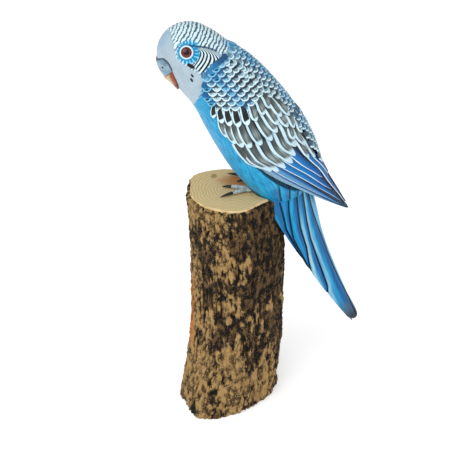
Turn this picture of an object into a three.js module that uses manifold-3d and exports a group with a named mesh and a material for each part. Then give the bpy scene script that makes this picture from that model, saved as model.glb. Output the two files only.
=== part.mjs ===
// Carved and painted wooden budgerigar, life size, on a cut length of log.
// Millimetres, +Z up. The bird faces -X, its plane of symmetry is Y = 0, the log stands on Z = 0.
import * as THREE from 'three';
import { mergeVertices } from 'three/addons/utils/BufferGeometryUtils.js';
import Module from 'manifold-3d';

const wasm = await Module();
wasm.setup();

// Driving sizes of the bird
const HEAD = { x: -20.3, z: 199.6, depth: 15.7, width: 13.6, pitch: 35 };
const HEAD_STEPS = [-1, -0.985, -0.93, -0.83, -0.68, -0.48, -0.25, 0];
// Sections from nape to vent: x, z, pitch in degrees, half depth, half width
const TRUNK = [
  [-17.0, 197.0, 37.0, 16.4, 14.2],
  [-13.0, 192.8, 39.0, 17.1, 15.2],
  [-8.3, 188.4, 44.0, 17.7, 16.2],
  [-2.4, 182.3, 50.7, 19.0, 17.6],
  [4.9, 172.1, 59.1, 20.8, 19.2],
  [12.5, 160.1, 64.4, 22.0, 20.2],
  [19.6, 146.2, 68.5, 21.2, 19.6],
  [25.6, 134.5, 66.4, 18.2, 17.0],
  [30.0, 126.0, 64.0, 15.0, 13.0],
  [33.5, 118.0, 64.0, 12.0, 9.0],
];
const NECK_START = 9.3;                // sections at which the body is parted
const TORSO_START = 11.3;
const TORSO_END = 16.3;
const GAP = 0.3;                       // between touching pieces
const SIDES = 36;                      // facets round a body section

// Wing: rows from the shoulder to the tip, as centre x, z, pitch, half depth, half width,
// and the angles of its upper and lower edges round the section
const WING_SECTIONS = [9.05, 9.6, 10.3, 11, 11.7, 12.4, 13.0, 13.5];
const WING_UPPER = [54, 43, 37, 32, 28, 24, 20, 20];
const WING_LOWER = [86, 100, 108, 116, 118, 118, 115, 108];
const WING_FREE = [
  [15.9, 144.9, 84.9, 27.1, 17.5, 9, 90],
  [25.2, 137.1, 85.9, 22.2, 15.0, 0, 90],
  [35.5, 129.7, 88.6, 16.1, 11.5, 0, 90],
  [46.0, 122.2, 87.0, 9.9, 7.5, 0, 90],
  [55.2, 116.5, 95.0, 4.5, 4.0, 0, 90],
  [60.4, 113.6, 95.0, 1.3, 1.9, 0, 90],
];
const WING_ROWS = 34;
const WING_COLUMNS = 10;
const WING_PROUD = 1.0;                // outer face above the body
const WING_THICK = 2.4;
const MIDLINE = 0.25;                  // the two wings keep this from the plane of symmetry

// Tail: along its own axis from the vent
// Cere and bill on the front of the head: sections they run between and half widths in degrees
const CERE = { start: 3.78, end: 6.08, wide: 52, narrow: 57, bulge: 9 };
const BEAK_UPPER = { start: 6.15, end: 7.9, wide: 57, narrow: 37 };
const BEAK_LOWER = { start: 7.96, end: 8.6, wide: 35, narrow: 9 };
const SEAT_MARGIN = 5.5;
const SEAT_REACH = 0.025;
const TAIL = { x: 30, z: 126, pitch: 63.8, start: 2.5, length: 88, rows: 16 };

// Eye and bill
const EYE = { station: 6.01, angle: 74, ring: 3.3, ball: 2.55, proud: 1.1, seat: 1.3 };
const BILL = { proud: 0.7, depth: 2.6 };

// Log
const LOG = { height: 124, bark: 2.0, sides: 40, cover: 1.2, foot: 0.5, rows: 12 };

const radians = (degrees) => degrees * Math.PI / 180;
const mix = (a, b, t) => a + (b - a) * t;
const clamp = (t) => Math.min(1, Math.max(0, t));
const smooth = (t) => clamp(t) * clamp(t) * (3 - 2 * clamp(t));

// Catmull-Rom value through rows of numbers
function through(rows, s) {
  const last = rows.length - 1;
  const k = Math.min(last - 1, Math.max(0, Math.floor(s)));
  const f = Math.min(1, Math.max(0, s - k));
  const row = (i) => rows[Math.min(last, Math.max(0, i))];
  const [a, b, c, d] = [row(k - 1), row(k), row(k + 1), row(k + 2)];
  return b.map((_, i) => 0.5 * (2 * b[i] + (c[i] - a[i]) * f
    + (2 * a[i] - 5 * b[i] + 4 * c[i] - d[i]) * f * f + (3 * b[i] - a[i] - 3 * c[i] + d[i]) * f ** 3));
}

function headRow(t) {
  const across = Math.sqrt(Math.max(0, 1 - t * t));
  const a = radians(HEAD.pitch);
  return [HEAD.x + t * HEAD.depth * Math.cos(a), HEAD.z - t * HEAD.depth * Math.sin(a),
    HEAD.pitch, HEAD.depth * across, HEAD.width * across];
}

const BODY = [...HEAD_STEPS.map(headRow), ...TRUNK];

// Point on an elliptic section: angle 0 is the back, 90 the left side, 180 the front
function onSection([x, z, pitch, depth, width], angle, out = 0) {
  const a = radians(pitch);
  const c = Math.cos(radians(angle)) * Math.max(depth + out, 0.01);
  const y = -Math.sin(radians(angle)) * Math.max(width + out, 0.01);
  return new THREE.Vector3(x + c * Math.sin(a), y, z + c * Math.cos(a));
}

const onBody = (s, angle, out = 0) => onSection(through(BODY, s), angle, out);

function geometryOf(points, faces) {
  const geometry = new THREE.BufferGeometry();
  const flat = points.flatMap((p) => [p.x, p.y, p.z]);
  geometry.setAttribute('position', new THREE.Float32BufferAttribute(flat, 3));
  geometry.setIndex(faces.flat());
  const corner = (i) => points[i];
  const cone = ([a, b, c]) => corner(a).dot(corner(b).clone().cross(corner(c)));
  const volume = faces.reduce((sum, face) => sum + cone(face), 0);
  if (volume < 0) geometry.setIndex(faces.flatMap(([a, b, c]) => [a, c, b]));
  return geometry;
}

// Closed body through rings of equal count, with a flat fan at each end
function loft(rings) {
  const count = rings[0].length;
  const points = rings.flat();
  const faces = [];
  for (let i = 0; i < rings.length - 1; i += 1) {
    for (let j = 0; j < count; j += 1) {
      const k = (j + 1) % count;
      const [a, b, c, d] = [i * count + j, i * count + k, (i + 1) * count + k, (i + 1) * count + j];
      faces.push([a, b, c], [a, c, d]);
    }
  }
  for (const end of [0, rings.length - 1]) {
    const middle = rings[end].reduce((sum, p) => sum.add(p), new THREE.Vector3()).divideScalar(count);
    const centre = points.push(middle) - 1;
    for (let j = 0; j < count; j += 1) {
      const pair = [end * count + j, end * count + (j + 1) % count];
      faces.push(end === 0 ? [centre, pair[1], pair[0]] : [centre, pair[0], pair[1]]);
    }
  }
  return geometryOf(points, faces);
}

// Closed plate between two grids of equal size, cut into triangles alike on both faces
function plate(outer, inner) {
  const rows = outer.length;
  const columns = outer[0].length;
  const points = [...outer.flat(), ...inner.flat()];
  const under = rows * columns;
  const at = (i, j) => i * columns + j;
  const faces = [];
  for (let i = 0; i < rows - 1; i += 1) {
    for (let j = 0; j < columns - 1; j += 1) {
      const [a, b, c, d] = [at(i, j), at(i, j + 1), at(i + 1, j + 1), at(i + 1, j)];
      faces.push([a, b, c], [a, c, d], [under + a, under + c, under + b], [under + a, under + d, under + c]);
    }
  }
  const rim = [];
  for (let j = 0; j < columns - 1; j += 1) rim.push([at(0, j), at(0, j + 1)]);
  for (let i = 0; i < rows - 1; i += 1) rim.push([at(i, columns - 1), at(i + 1, columns - 1)]);
  for (let j = columns - 1; j > 0; j -= 1) rim.push([at(rows - 1, j), at(rows - 1, j - 1)]);
  for (let i = rows - 1; i > 0; i -= 1) rim.push([at(i, 0), at(i - 1, 0)]);
  for (const [a, b] of rim) faces.push([a, under + a, under + b], [a, under + b, b]);
  return geometryOf(points, faces);
}

function solid(geometry) {
  const bare = geometry.clone();
  bare.deleteAttribute('normal');
  bare.deleteAttribute('uv');
  const merged = mergeVertices(bare, 1e-4);
  const vertProperties = new Float32Array(merged.attributes.position.array);
  const triVerts = new Uint32Array(merged.index.array);
  return new wasm.Manifold(new wasm.Mesh({ numProp: 3, vertProperties, triVerts }));
}

// Largest closed surface of a solid, as a geometry
function largest(body) {
  const best = body.decompose().sort((a, b) => b.volume() - a.volume())[0];
  const mesh = best.getMesh();
  const geometry = new THREE.BufferGeometry();
  geometry.setAttribute('position', new THREE.BufferAttribute(new Float32Array(mesh.vertProperties), 3));
  geometry.setIndex(new THREE.BufferAttribute(new Uint32Array(mesh.triVerts), 1));
  return geometry;
}

const join = (parts) => parts.reduce((sum, part) => sum.add(part));

const group = new THREE.Group();

function addNode(name, body, color, roughness) {
  const material = new THREE.MeshStandardMaterial({ color, roughness, metalness: 0 });
  const mesh = new THREE.Mesh(largest(body), material);
  mesh.name = name;
  group.add(mesh);
}

const mirrored = (body) => body.mirror([0, 1, 0]);

// Body between two sections, grown outward by out
function bodyLength(from, to, step, out = 0) {
  const rings = [];
  const count = Math.max(2, Math.round((to - from) / step));
  for (let i = 0; i <= count; i += 1) {
    const s = mix(from, to, i / count);
    rings.push(Array.from({ length: SIDES }, (_, j) => onBody(s, 360 * j / SIDES, out)));
  }
  return solid(loft(rings));
}

// Wing row t from 0 at the shoulder to 1 at the tip
const WING = [
  ...WING_SECTIONS.map((s, i) => {
    const [x, z, pitch, depth, width] = through(BODY, s);
    return [x, z, pitch, depth + WING_PROUD, width + WING_PROUD, WING_UPPER[i], WING_LOWER[i]];
  }),
  ...WING_FREE,
];

function onWing(t, v, out = 0, side = MIDLINE) {
  const row = through(WING, t * (WING.length - 1));
  const point = onSection(row, mix(row[5], row[6], v), out);
  point.y = Math.min(point.y, -side);
  return point;
}

// The wing as a plate; a margin in degrees widens it for the seat that it lies in
function wingPlate(outer, inner, margin = 0) {
  const grid = (out) => Array.from({ length: WING_ROWS + 1 }, (_, i) => (
    Array.from({ length: WING_COLUMNS + 1 }, (__, j) => {
      const t = i / WING_ROWS;
      const v = mix(-margin, 1 + margin, j / WING_COLUMNS);
      const thin = out < 0 ? 1 - 0.55 * smooth((t - 0.6) / 0.4) : 1;
      const point = onWing(t, v, out * thin, margin > 0 ? 0 : MIDLINE);
      if (margin > 0 && i === 0) point.add(new THREE.Vector3(-1, 0, 1).multiplyScalar(2 * GAP));
      return point;
    })));
  return solid(plate(grid(outer), grid(inner)));
}

// Point in the tail's own frame: along the tail, up from its axis, and sideways
function inTail(along, up, side) {
  const a = radians(TAIL.pitch);
  return new THREE.Vector3(TAIL.x + along * Math.cos(a) + up * Math.sin(a), side,
    TAIL.z - along * Math.sin(a) + up * Math.cos(a));
}

function tailSize(along) {
  const t = clamp(along / TAIL.length);
  const crest = 1.3 * Math.exp(-(((along - 12) / 16) ** 2));
  const top = 9.5 * (1 - t) ** 2.2 + 0.3 + crest;
  return { top, bottom: mix(-10.6, -3.4, t ** 2.4), half: mix(9.4, 3.9, t ** 0.9) };
}

// Roof-shaped tail section, ridge uppermost, flat beneath
function tailRing(along, out = 0) {
  const { top, bottom, half } = tailSize(along);
  const flank = 9;
  const ring = [];
  for (let j = -flank; j <= flank; j += 1) {
    const angle = radians(90 * j / flank);
    const drop = Math.abs(j) === flank ? out : 0;
    const up = bottom + (top - bottom + out) * Math.cos(angle) - drop;
    ring.push(inTail(along, up, (half + out) * Math.sin(angle)));
  }
  return ring;
}

function tailCore(from, to, out = 0) {
  const rings = Array.from({ length: TAIL.rows + 1 }, (_, i) => tailRing(mix(from, to, i / TAIL.rows), out));
  return solid(loft(rings));
}

// Outline of the log at a height: a wavy round with root flares low down and a flat side
function logRadius(angle, height) {
  const low = clamp(1 - height / 55);
  const wave = 1.1 * Math.sin(3 * angle + 0.6) + 0.6 * Math.sin(5 * angle + 2.1) + 0.4 * Math.sin(8 * angle);
  const flare = 9.5 * low ** 1.6 * Math.exp(-(((angle - radians(-117)) / 0.42) ** 2))
    + 4.5 * low ** 1.5 * Math.exp(-(((angle - radians(-160)) / 0.5) ** 2));
  const belly = -2.4 * Math.sin(Math.PI * clamp(height / LOG.height)) * Math.cos(angle - Math.PI) * 0.4;
  return 24.6 + wave + flare + belly;
}

function logRing(height, shrink, at = height) {
  return Array.from({ length: LOG.sides }, (_, j) => {
    const raw = 2 * Math.PI * j / LOG.sides;
    const angle = raw > Math.PI ? raw - 2 * Math.PI : raw;
    const radius = logRadius(angle, height) - shrink;
    const shift = 2.2 * Math.sin(Math.PI * clamp(height / LOG.height) * 0.9);
    return new THREE.Vector3(radius * Math.cos(angle) + shift, radius * Math.sin(angle), at);
  });
}

function logLength(shrink, bottom, top, rows) {
  const rings = Array.from({ length: rows + 1 }, (_, i) => logRing(mix(bottom, top, i / rows), shrink));
  return solid(loft(rings));
}

// Tube through points with a radius at each, round, pointed where the radius is small
function limb(points, radii, sides = 10) {
  const rings = points.map((point, i) => {
    const before = points[Math.max(0, i - 1)];
    const after = points[Math.min(points.length - 1, i + 1)];
    const along = after.clone().sub(before).normalize();
    const across = new THREE.Vector3(0, 0, 1).cross(along).normalize();
    const up = along.clone().cross(across);
    return Array.from({ length: sides }, (_, j) => {
      const a = 2 * Math.PI * j / sides;
      const edge = point.clone().addScaledVector(across, radii[i] * Math.cos(a));
      return edge.addScaledVector(up, radii[i] * Math.sin(a));
    });
  });
  return solid(loft(rings));
}

function disc(radius, from, to, dome, sides = 16) {
  const profile = [new THREE.Vector2(0, from), new THREE.Vector2(radius, from), new THREE.Vector2(radius, to)];
  if (dome > 0) {
    for (let k = 1; k <= 3; k += 1) {
      const a = radians(90 * k / 4);
      profile.push(new THREE.Vector2(radius * Math.cos(a), to + dome * Math.sin(a)));
    }
  }
  profile.push(new THREE.Vector2(0, to + dome));
  return new THREE.LatheGeometry(profile, sides);
}

// Turns a lathed shape so that its axis leaves the head at the eye
function atEye(geometry) {
  const centre = onBody(EYE.station, EYE.angle);
  const step = onBody(EYE.station + 0.3, EYE.angle).sub(onBody(EYE.station - 0.3, EYE.angle));
  const turn = onBody(EYE.station, EYE.angle + 4).sub(onBody(EYE.station, EYE.angle - 4));
  const normal = step.cross(turn).normalize();
  if (normal.y > 0) normal.negate();
  const matrix = new THREE.Matrix4().makeRotationFromQuaternion(
    new THREE.Quaternion().setFromUnitVectors(new THREE.Vector3(0, 1, 0), normal)).setPosition(centre);
  return solid(geometry.clone().applyMatrix4(matrix));
}

// Body pieces, whole
const headWhole = bodyLength(0, NECK_START - 0.02, 0.45);
const neckWhole = bodyLength(NECK_START + 0.04, TORSO_START - 0.02, 0.4);
const torsoWhole = bodyLength(TORSO_START + 0.02, TORSO_END, 0.36);
const tailWhole = tailCore(TAIL.start, TAIL.length);

// Bill and cere: a shell let into the face, cut from the head's own round
function faceWedge(form, margin = 0, proud = BILL.proud, depth = BILL.depth) {
  const { start, end, wide, narrow, bulge = 0 } = form;
  const rows = 6;
  const sides = 10;
  const reach = margin * SEAT_REACH;
  const ring = (out) => Array.from({ length: rows + 1 }, (_, i) => {
    const s = mix(start - reach, end + reach, i / rows);
    const half = mix(wide, narrow, i / rows) + bulge * Math.sin(Math.PI * i / rows) + margin;
    return Array.from({ length: sides + 1 }, (__, j) => onBody(s, 180 + mix(-half, half, j / sides), out));
  });
  return solid(plate(ring(proud), ring(-depth)));
}

const cere = faceWedge(CERE);
const beakUpper = faceWedge(BEAK_UPPER);
const beakLower = faceWedge(BEAK_LOWER);
const faceSeat = join([CERE, BEAK_UPPER, BEAK_LOWER].map((form) => (
  faceWedge(form, SEAT_MARGIN, BILL.proud + 2, BILL.depth + 1.5 * GAP))));
const head = headWhole.subtract(faceSeat);

const eyePocket = atEye(disc(EYE.ring + GAP, -EYE.seat - GAP, 4, 0));
const eyeBall = atEye(disc(EYE.ball, -EYE.seat, 0.25, EYE.proud));
const eyeHole = atEye(disc(EYE.ball + GAP, -EYE.seat - 1, 5, 0));
const eyeRing = atEye(disc(EYE.ring, -EYE.seat, 0.15, 0.45)).subtract(eyeHole);

addNode('cere', cere, 0x7f97a8, 0.55);
addNode('beak_upper', beakUpper, 0xb98a5c, 0.5);
addNode('beak_lower', beakLower, 0x8a4a24, 0.5);
addNode('eye_left', eyeBall, 0x5e0b18, 0.15);
addNode('eye_right', mirrored(eyeBall), 0x5e0b18, 0.15);
addNode('eye_ring_left', eyeRing, 0xf2f4f4, 0.4);
addNode('eye_ring_right', mirrored(eyeRing), 0xf2f4f4, 0.4);

// Wings lie in a seat cut into neck, torso and tail
const wing = wingPlate(0, -WING_THICK);
const wingSeat = wingPlate(3, -WING_THICK - 1.5 * GAP, 0.02);
const seats = wingSeat.add(mirrored(wingSeat));
addNode('wing_left', wing, 0x2f7fd0, 0.6);
addNode('wing_right', mirrored(wing), 0x2f7fd0, 0.6);
addNode('head', head.subtract(join([seats, eyePocket, mirrored(eyePocket)])), 0xb9c9d3, 0.7);
addNode('neck', neckWhole.subtract(seats), 0x8fb6cf, 0.7);
addNode('torso', torsoWhole.subtract(seats), 0x2f95d4, 0.65);
addNode('tail', tailWhole.subtract(seats).subtract(bodyLength(14, TORSO_END, 0.3, GAP)), 0x2493d6, 0.6);

// Log with its bark, cut away where the vent and the tail pass
const clearance = join([bodyLength(12.5, 17, 0.4, 0.6), tailCore(0, 60, 0.8)]);
const wood = logLength(LOG.bark + GAP, 0, LOG.height, LOG.rows);
const hollow = logLength(LOG.bark, -1, LOG.height + 1, LOG.rows);
const bark = logLength(0, LOG.foot, LOG.height - LOG.cover, LOG.rows).subtract(hollow);
addNode('log_wood', wood.subtract(clearance), 0xe6d3a4, 0.8);
addNode('log_bark', bark.subtract(clearance), 0x6a5434, 0.95);

// Feet rest on the log just ahead of the vent
const FOOT = { left: -3.0, right: 8.6, x: 10, z: LOG.height + GAP, toe: 1.35 };
const bellyClear = bodyLength(11.5, 17, 0.4, GAP);

function toePoints(x, y, heading, length, z) {
  return [0, 0.25, 0.55, 0.85, 1].map((t) => (
    new THREE.Vector3(x - length * t * Math.cos(heading), y + length * t * Math.sin(heading), z)));
}

function foot(x, y, headings, lengths) {
  const centre = FOOT.z + FOOT.toe;
  const parts = headings.map((heading, i) => limb(toePoints(x, y, radians(heading), lengths[i], centre),
    [1.5, 1.3, 1.35, 1.3, 1.1].map((r) => r * FOOT.toe / 1.5)));
  const pad = new THREE.SphereGeometry(2.6, 14, 8);
  pad.scale(1, 1, 0.5).translate(x - 0.4, y, centre);
  return join([...parts, solid(pad)]).subtract(bellyClear);
}

function claw(x, y, heading, reach, length) {
  const h = radians(heading);
  const points = [0, 0.35, 0.7, 1].map((t) => new THREE.Vector3(
    x - (reach + GAP + length * t) * Math.cos(h), y + (reach + GAP + length * t) * Math.sin(h),
    FOOT.z + 1.25 - 0.75 * t * t));
  return limb(points, [0.95, 0.8, 0.55, 0.25], 8);
}

const TOES = { left: [{ heading: -27, length: 9.6 }, { heading: 14, length: 9.6 }],
  right: [{ heading: 24, length: 8.4 }, { heading: -16, length: 5.2 }] };
const FEET = [['left', FOOT.x, FOOT.left], ['right', FOOT.x + 3, FOOT.right]];
for (const [side, x, y] of FEET) {
  const toes = TOES[side];
  const headings = toes.map((toe) => toe.heading);
  addNode(`foot_${side}`, foot(x, y, headings, toes.map((toe) => toe.length)), 0x8f9a9b, 0.75);
  ['outer', 'inner'].forEach((name, i) => {
    addNode(`claw_${side}_${name}`, claw(x, y, toes[i].heading, toes[i].length, i === 0 ? 7 : 4.6), 0x14181a, 0.5);
  });
}

export default group;
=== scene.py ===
"""Carved and painted wooden budgerigar on a log: finished surfaces, floor, light and camera."""
import math
import bpy
import numpy as np
from mathutils import Matrix, Vector, noise


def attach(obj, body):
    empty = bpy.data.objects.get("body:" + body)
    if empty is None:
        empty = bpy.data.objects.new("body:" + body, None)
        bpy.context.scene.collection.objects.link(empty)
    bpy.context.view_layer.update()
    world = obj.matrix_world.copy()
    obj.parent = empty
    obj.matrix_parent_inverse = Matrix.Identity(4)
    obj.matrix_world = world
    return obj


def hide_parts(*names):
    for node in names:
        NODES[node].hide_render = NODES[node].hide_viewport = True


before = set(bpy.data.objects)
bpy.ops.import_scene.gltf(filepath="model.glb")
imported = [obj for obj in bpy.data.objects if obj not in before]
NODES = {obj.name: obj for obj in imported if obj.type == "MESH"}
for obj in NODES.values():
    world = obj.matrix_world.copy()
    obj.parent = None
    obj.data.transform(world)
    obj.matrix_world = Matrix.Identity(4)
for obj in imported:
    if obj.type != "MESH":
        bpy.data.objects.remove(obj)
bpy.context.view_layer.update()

MM = 0.001
RNG = np.random.default_rng(7)

# The bird's sections, in millimetres: x, z, pitch in degrees, half depth, half width
HEAD = dict(x=-20.3, z=199.6, depth=15.7, width=13.6, pitch=35.0)
HEAD_STEPS = (-1, -0.985, -0.93, -0.83, -0.68, -0.48, -0.25, 0)
TRUNK = (
    (-17.0, 197.0, 37.0, 16.4, 14.2),
    (-13.0, 192.8, 39.0, 17.1, 15.2),
    (-8.3, 188.4, 44.0, 17.7, 16.2),
    (-2.4, 182.3, 50.7, 19.0, 17.6),
    (4.9, 172.1, 59.1, 20.8, 19.2),
    (12.5, 160.1, 64.4, 22.0, 20.2),
    (19.6, 146.2, 68.5, 21.2, 19.6),
    (25.6, 134.5, 66.4, 18.2, 17.0),
    (30.0, 126.0, 64.0, 15.0, 13.0),
    (33.5, 118.0, 64.0, 12.0, 9.0),
)
SKIN_END = 16.3

# The wing's rows, shoulder to tip, with the angles of its upper and lower edges
WING_SECTIONS = (9.05, 9.6, 10.3, 11, 11.7, 12.4, 13.0, 13.5)
WING_UPPER = (54, 43, 37, 32, 28, 24, 20, 20)
WING_LOWER = (86, 100, 108, 116, 118, 118, 115, 108)
WING_FREE = (
    (15.9, 144.9, 84.9, 27.1, 17.5, 9, 90),
    (25.2, 137.1, 85.9, 22.2, 15.0, 0, 90),
    (35.5, 129.7, 88.6, 16.1, 11.5, 0, 90),
    (46.0, 122.2, 87.0, 9.9, 7.5, 0, 90),
    (55.2, 116.5, 95.0, 4.5, 4.0, 0, 90),
    (60.4, 113.6, 95.0, 1.3, 1.9, 0, 90),
)
WING_PROUD = 0.6
TAIL = dict(x=30, z=126, pitch=63.8, length=88)
EYE_STATION, EYE_ANGLE = 6.01, 74
LOG_HEIGHT = 124


def through(rows, s):
    """Catmull-Rom values through rows of numbers at s."""
    rows = np.asarray(rows, float)
    s = np.clip(np.asarray(s, float), 0, len(rows) - 1.000001)
    k = s.astype(int)
    f = (s - k)[..., None]
    a, b, c, d = (rows[np.clip(k + i, 0, len(rows) - 1)] for i in (-1, 0, 1, 2))
    return 0.5 * (2 * b + (c - a) * f + (2 * a - 5 * b + 4 * c - d) * f**2 + (3 * b - a - 3 * c + d) * f**3)


def head_row(t):
    across = math.sqrt(max(0.0, 1 - t * t))
    a = math.radians(HEAD["pitch"])
    return (HEAD["x"] + t * HEAD["depth"] * math.cos(a), HEAD["z"] - t * HEAD["depth"] * math.sin(a),
            HEAD["pitch"], HEAD["depth"] * across, HEAD["width"] * across)


BODY = [head_row(t) for t in HEAD_STEPS] + list(TRUNK)


def on_section(row, angle, out=0.0):
    pitch = np.radians(row[..., 2])
    turn = np.radians(angle)
    c = np.cos(turn) * np.maximum(row[..., 3] + out, 0.01)
    y = -np.sin(turn) * np.maximum(row[..., 4] + out, 0.01)
    return np.stack([row[..., 0] + c * np.sin(pitch), y, row[..., 1] + c * np.cos(pitch)], -1)


def on_body(s, angle, out=0.0):
    return on_section(through(BODY, s), angle, out)


WING = [tuple(np.append(through(BODY, s) + np.array([0, 0, 0, WING_PROUD, WING_PROUD]), (u, l)))
        for s, u, l in zip(WING_SECTIONS, WING_UPPER, WING_LOWER)]
WING += [row[:3] + (row[3] - 0.4, row[4] - 0.4) + row[5:] for row in WING_FREE]


def on_wing(i, v, out=0.0):
    row = through(WING, i)
    p = on_section(row, row[..., 5] + (row[..., 6] - row[..., 5]) * v, out)
    p[..., 1] = np.minimum(p[..., 1], -0.25)
    return p


def in_tail(along, up, side):
    a = math.radians(TAIL["pitch"])
    return np.stack([TAIL["x"] + along * math.cos(a) + up * math.sin(a), side + 0 * along,
                     TAIL["z"] - along * math.sin(a) + up * math.cos(a)], -1)


def on_tail(along, turn, out=0.0):
    """Point on the roof-shaped tail: turn is -90 at the left edge, 0 on the ridge, 90 at the right edge."""
    t = np.clip(along / TAIL["length"], 0, 1)
    top = 9.5 * (1 - t) ** 2.2 + 0.5 + 1.4 * np.exp(-(((along - 12) / 16) ** 2))
    bottom = -10.6 + 7.2 * t**2.4
    half = 9.3 - 5.3 * t**0.9
    a = np.radians(turn)
    return in_tail(along, bottom + (top - bottom + out) * np.cos(a), (half + out) * np.sin(a))


# Blender pieces
def deselect():
    bpy.ops.object.select_all(action="DESELECT")


def set_points(piece, points):
    piece.data.vertices.foreach_set("co", np.ascontiguousarray(points * MM, dtype=np.float32).ravel())
    piece.data.update()


def corners(piece):
    flat = np.empty(len(piece.data.vertices) * 3)
    piece.data.vertices.foreach_get("co", flat)
    return flat.reshape(-1, 3)


def face_out(piece, centre):
    """Turns the faces outward, judged by the middle face against a point inside, in millimetres."""
    face = piece.data.polygons[len(piece.data.polygons) // 2]
    if face.normal.dot(face.center - Vector(centre) * MM) < 0:
        piece.data.flip_normals()


def grid_piece(name, columns, rows, place, inside):
    """A grid laid on a surface: place turns the fractions across and along into points."""
    deselect()
    bpy.ops.mesh.primitive_grid_add(x_subdivisions=columns, y_subdivisions=rows, size=2)
    piece = bpy.context.object
    piece.name = name
    across, along = (corners(piece)[:, k] * 0.5 + 0.5 for k in (0, 1))
    set_points(piece, place(across, along))
    face_out(piece, inside)
    bpy.ops.object.shade_smooth()
    return piece


def add_field(piece, name, values):
    layer = piece.data.attributes.new(name, "FLOAT", "POINT")
    layer.data.foreach_set("value", np.ascontiguousarray(values, dtype=np.float32))


def mirror_copy(piece, name):
    twin = piece.copy()
    twin.data = piece.data.copy()
    twin.name = name
    bpy.context.collection.objects.link(twin)
    twin.data.transform(Matrix.Scale(-1, 4, (0, 1, 0)))
    twin.data.flip_normals()
    return twin


def finish_piece(piece, finish, nodes=()):
    piece.data.materials.clear()
    piece.data.materials.append(finish)
    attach(piece, "root")
    if nodes:
        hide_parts(*nodes)


def joined(pieces, name):
    deselect()
    for piece in pieces:
        piece.select_set(True)
    bpy.context.view_layer.objects.active = pieces[0]
    if len(pieces) > 1:
        bpy.ops.object.join()
    pieces[0].name = name
    return pieces[0]


# Shader maths and materials
class Value:
    """A number socket that can be used in Python expressions."""

    def __init__(self, finish, socket):
        self.finish = finish
        self.socket = socket

    def math(self, operation, *others, clamp=False):
        node = self.finish.tree.nodes.new("ShaderNodeMath")
        node.operation = operation
        node.use_clamp = clamp
        for k, item in enumerate((self,) + others):
            self.finish.plug(node.inputs[k], item)
        return Value(self.finish, node.outputs[0])

    def __add__(self, other):
        return self.math("ADD", other)

    def __sub__(self, other):
        return self.math("SUBTRACT", other)

    def __mul__(self, other):
        return self.math("MULTIPLY", other)

    def __rsub__(self, other):
        return (self * -1.0) + other

    __radd__ = __add__
    __rmul__ = __mul__

    def sine(self):
        return self.math("SINE")

    def size(self):
        return self.math("ABSOLUTE")

    def root(self):
        return self.math("SQRT")

    def clamped(self):
        return self.math("MULTIPLY", 1.0, clamp=True)

    def rise(self, low, high):
        """0 below low, 1 above high, smooth between."""
        out = self.finish.node("ShaderNodeMapRange", {"interpolation_type": "SMOOTHSTEP"},
                               {"Value": self, "From Min": low, "From Max": high})
        return Value(self.finish, out.outputs["Result"])


class Finish:
    """A node-based material with one method for every kind of node."""

    def __init__(self, name, roughness=0.5, coat=0.0):
        self.material = bpy.data.materials.new(name)
        self.material.use_nodes = True
        self.tree = self.material.node_tree
        self.shader = self.tree.nodes["Principled BSDF"]
        self.shader.inputs["Roughness"].default_value = roughness
        self.shader.inputs["Coat Weight"].default_value = coat
        self.shader.inputs["Coat Roughness"].default_value = 0.25
        self.shader.inputs["Specular IOR Level"].default_value = 0.22

    def plug(self, socket, item):
        if isinstance(item, Value):
            self.tree.links.new(item.socket, socket)
        elif isinstance(item, bpy.types.NodeSocket):
            self.tree.links.new(item, socket)
        elif isinstance(item, tuple) and len(item) == 3 and socket.type == "RGBA":
            socket.default_value = item + (1.0,)
        else:
            socket.default_value = item

    def node(self, kind, settings=None, inputs=None):
        node = self.tree.nodes.new(kind)
        for key, item in (settings or {}).items():
            setattr(node, key, item)
        for key, item in (inputs or {}).items():
            self.plug(node.inputs[key], item)
        return node

    def field(self, name):
        return Value(self, self.node("ShaderNodeAttribute", {"attribute_name": name}).outputs["Fac"])

    def axes(self):
        split = self.node("ShaderNodeSeparateXYZ", None, {0: self.place()})
        return [Value(self, split.outputs[k]) for k in range(3)]

    def place(self):
        return self.node("ShaderNodeTexCoord").outputs["Object"]

    def vector(self, x, y, z=0.0):
        return self.node("ShaderNodeCombineXYZ", None, {0: x, 1: y, 2: z}).outputs[0]

    def noise(self, scale, detail=3.0, vector=None, stretch=(1, 1, 1)):
        where = vector if vector is not None else self.place()
        where = self.node("ShaderNodeMapping", None, {"Vector": where, "Scale": stretch}).outputs[0]
        made = self.node("ShaderNodeTexNoise", None, {"Vector": where, "Scale": scale, "Detail": detail})
        return Value(self, made.outputs["Fac"])

    def mix(self, factor, first, second):
        node = self.node("ShaderNodeMix", {"data_type": "RGBA"}, {0: factor})
        self.plug(node.inputs[6], first)
        self.plug(node.inputs[7], second)
        return node.outputs[2]

    def shades(self, value, low, high, first, second):
        """From the first screen colour to the second while value goes from low to high."""
        return self.mix(value.rise(low, high), colour(*first), colour(*second))

    def coloured(self, colour):
        self.plug(self.shader.inputs["Base Color"], colour)

    def rough(self, value):
        self.plug(self.shader.inputs["Roughness"], value)

    def bumped(self, height, distance):
        node = self.node("ShaderNodeBump", None,
                         {"Height": height, "Distance": distance * MM, "Strength": 1.0})
        self.tree.links.new(node.outputs[0], self.shader.inputs["Normal"])


def colour(red, green, blue):
    """A paint colour given in screen values from 0 to 255."""
    return tuple(((v / 255 + 0.055) / 1.055) ** 2.4 if v > 10 else v / 255 / 12.92
                 for v in (red, green, blue))


MASK_GREY = colour(164, 182, 193)
WHITE = colour(206, 230, 238)
BLACK = colour(16, 26, 30)


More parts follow.
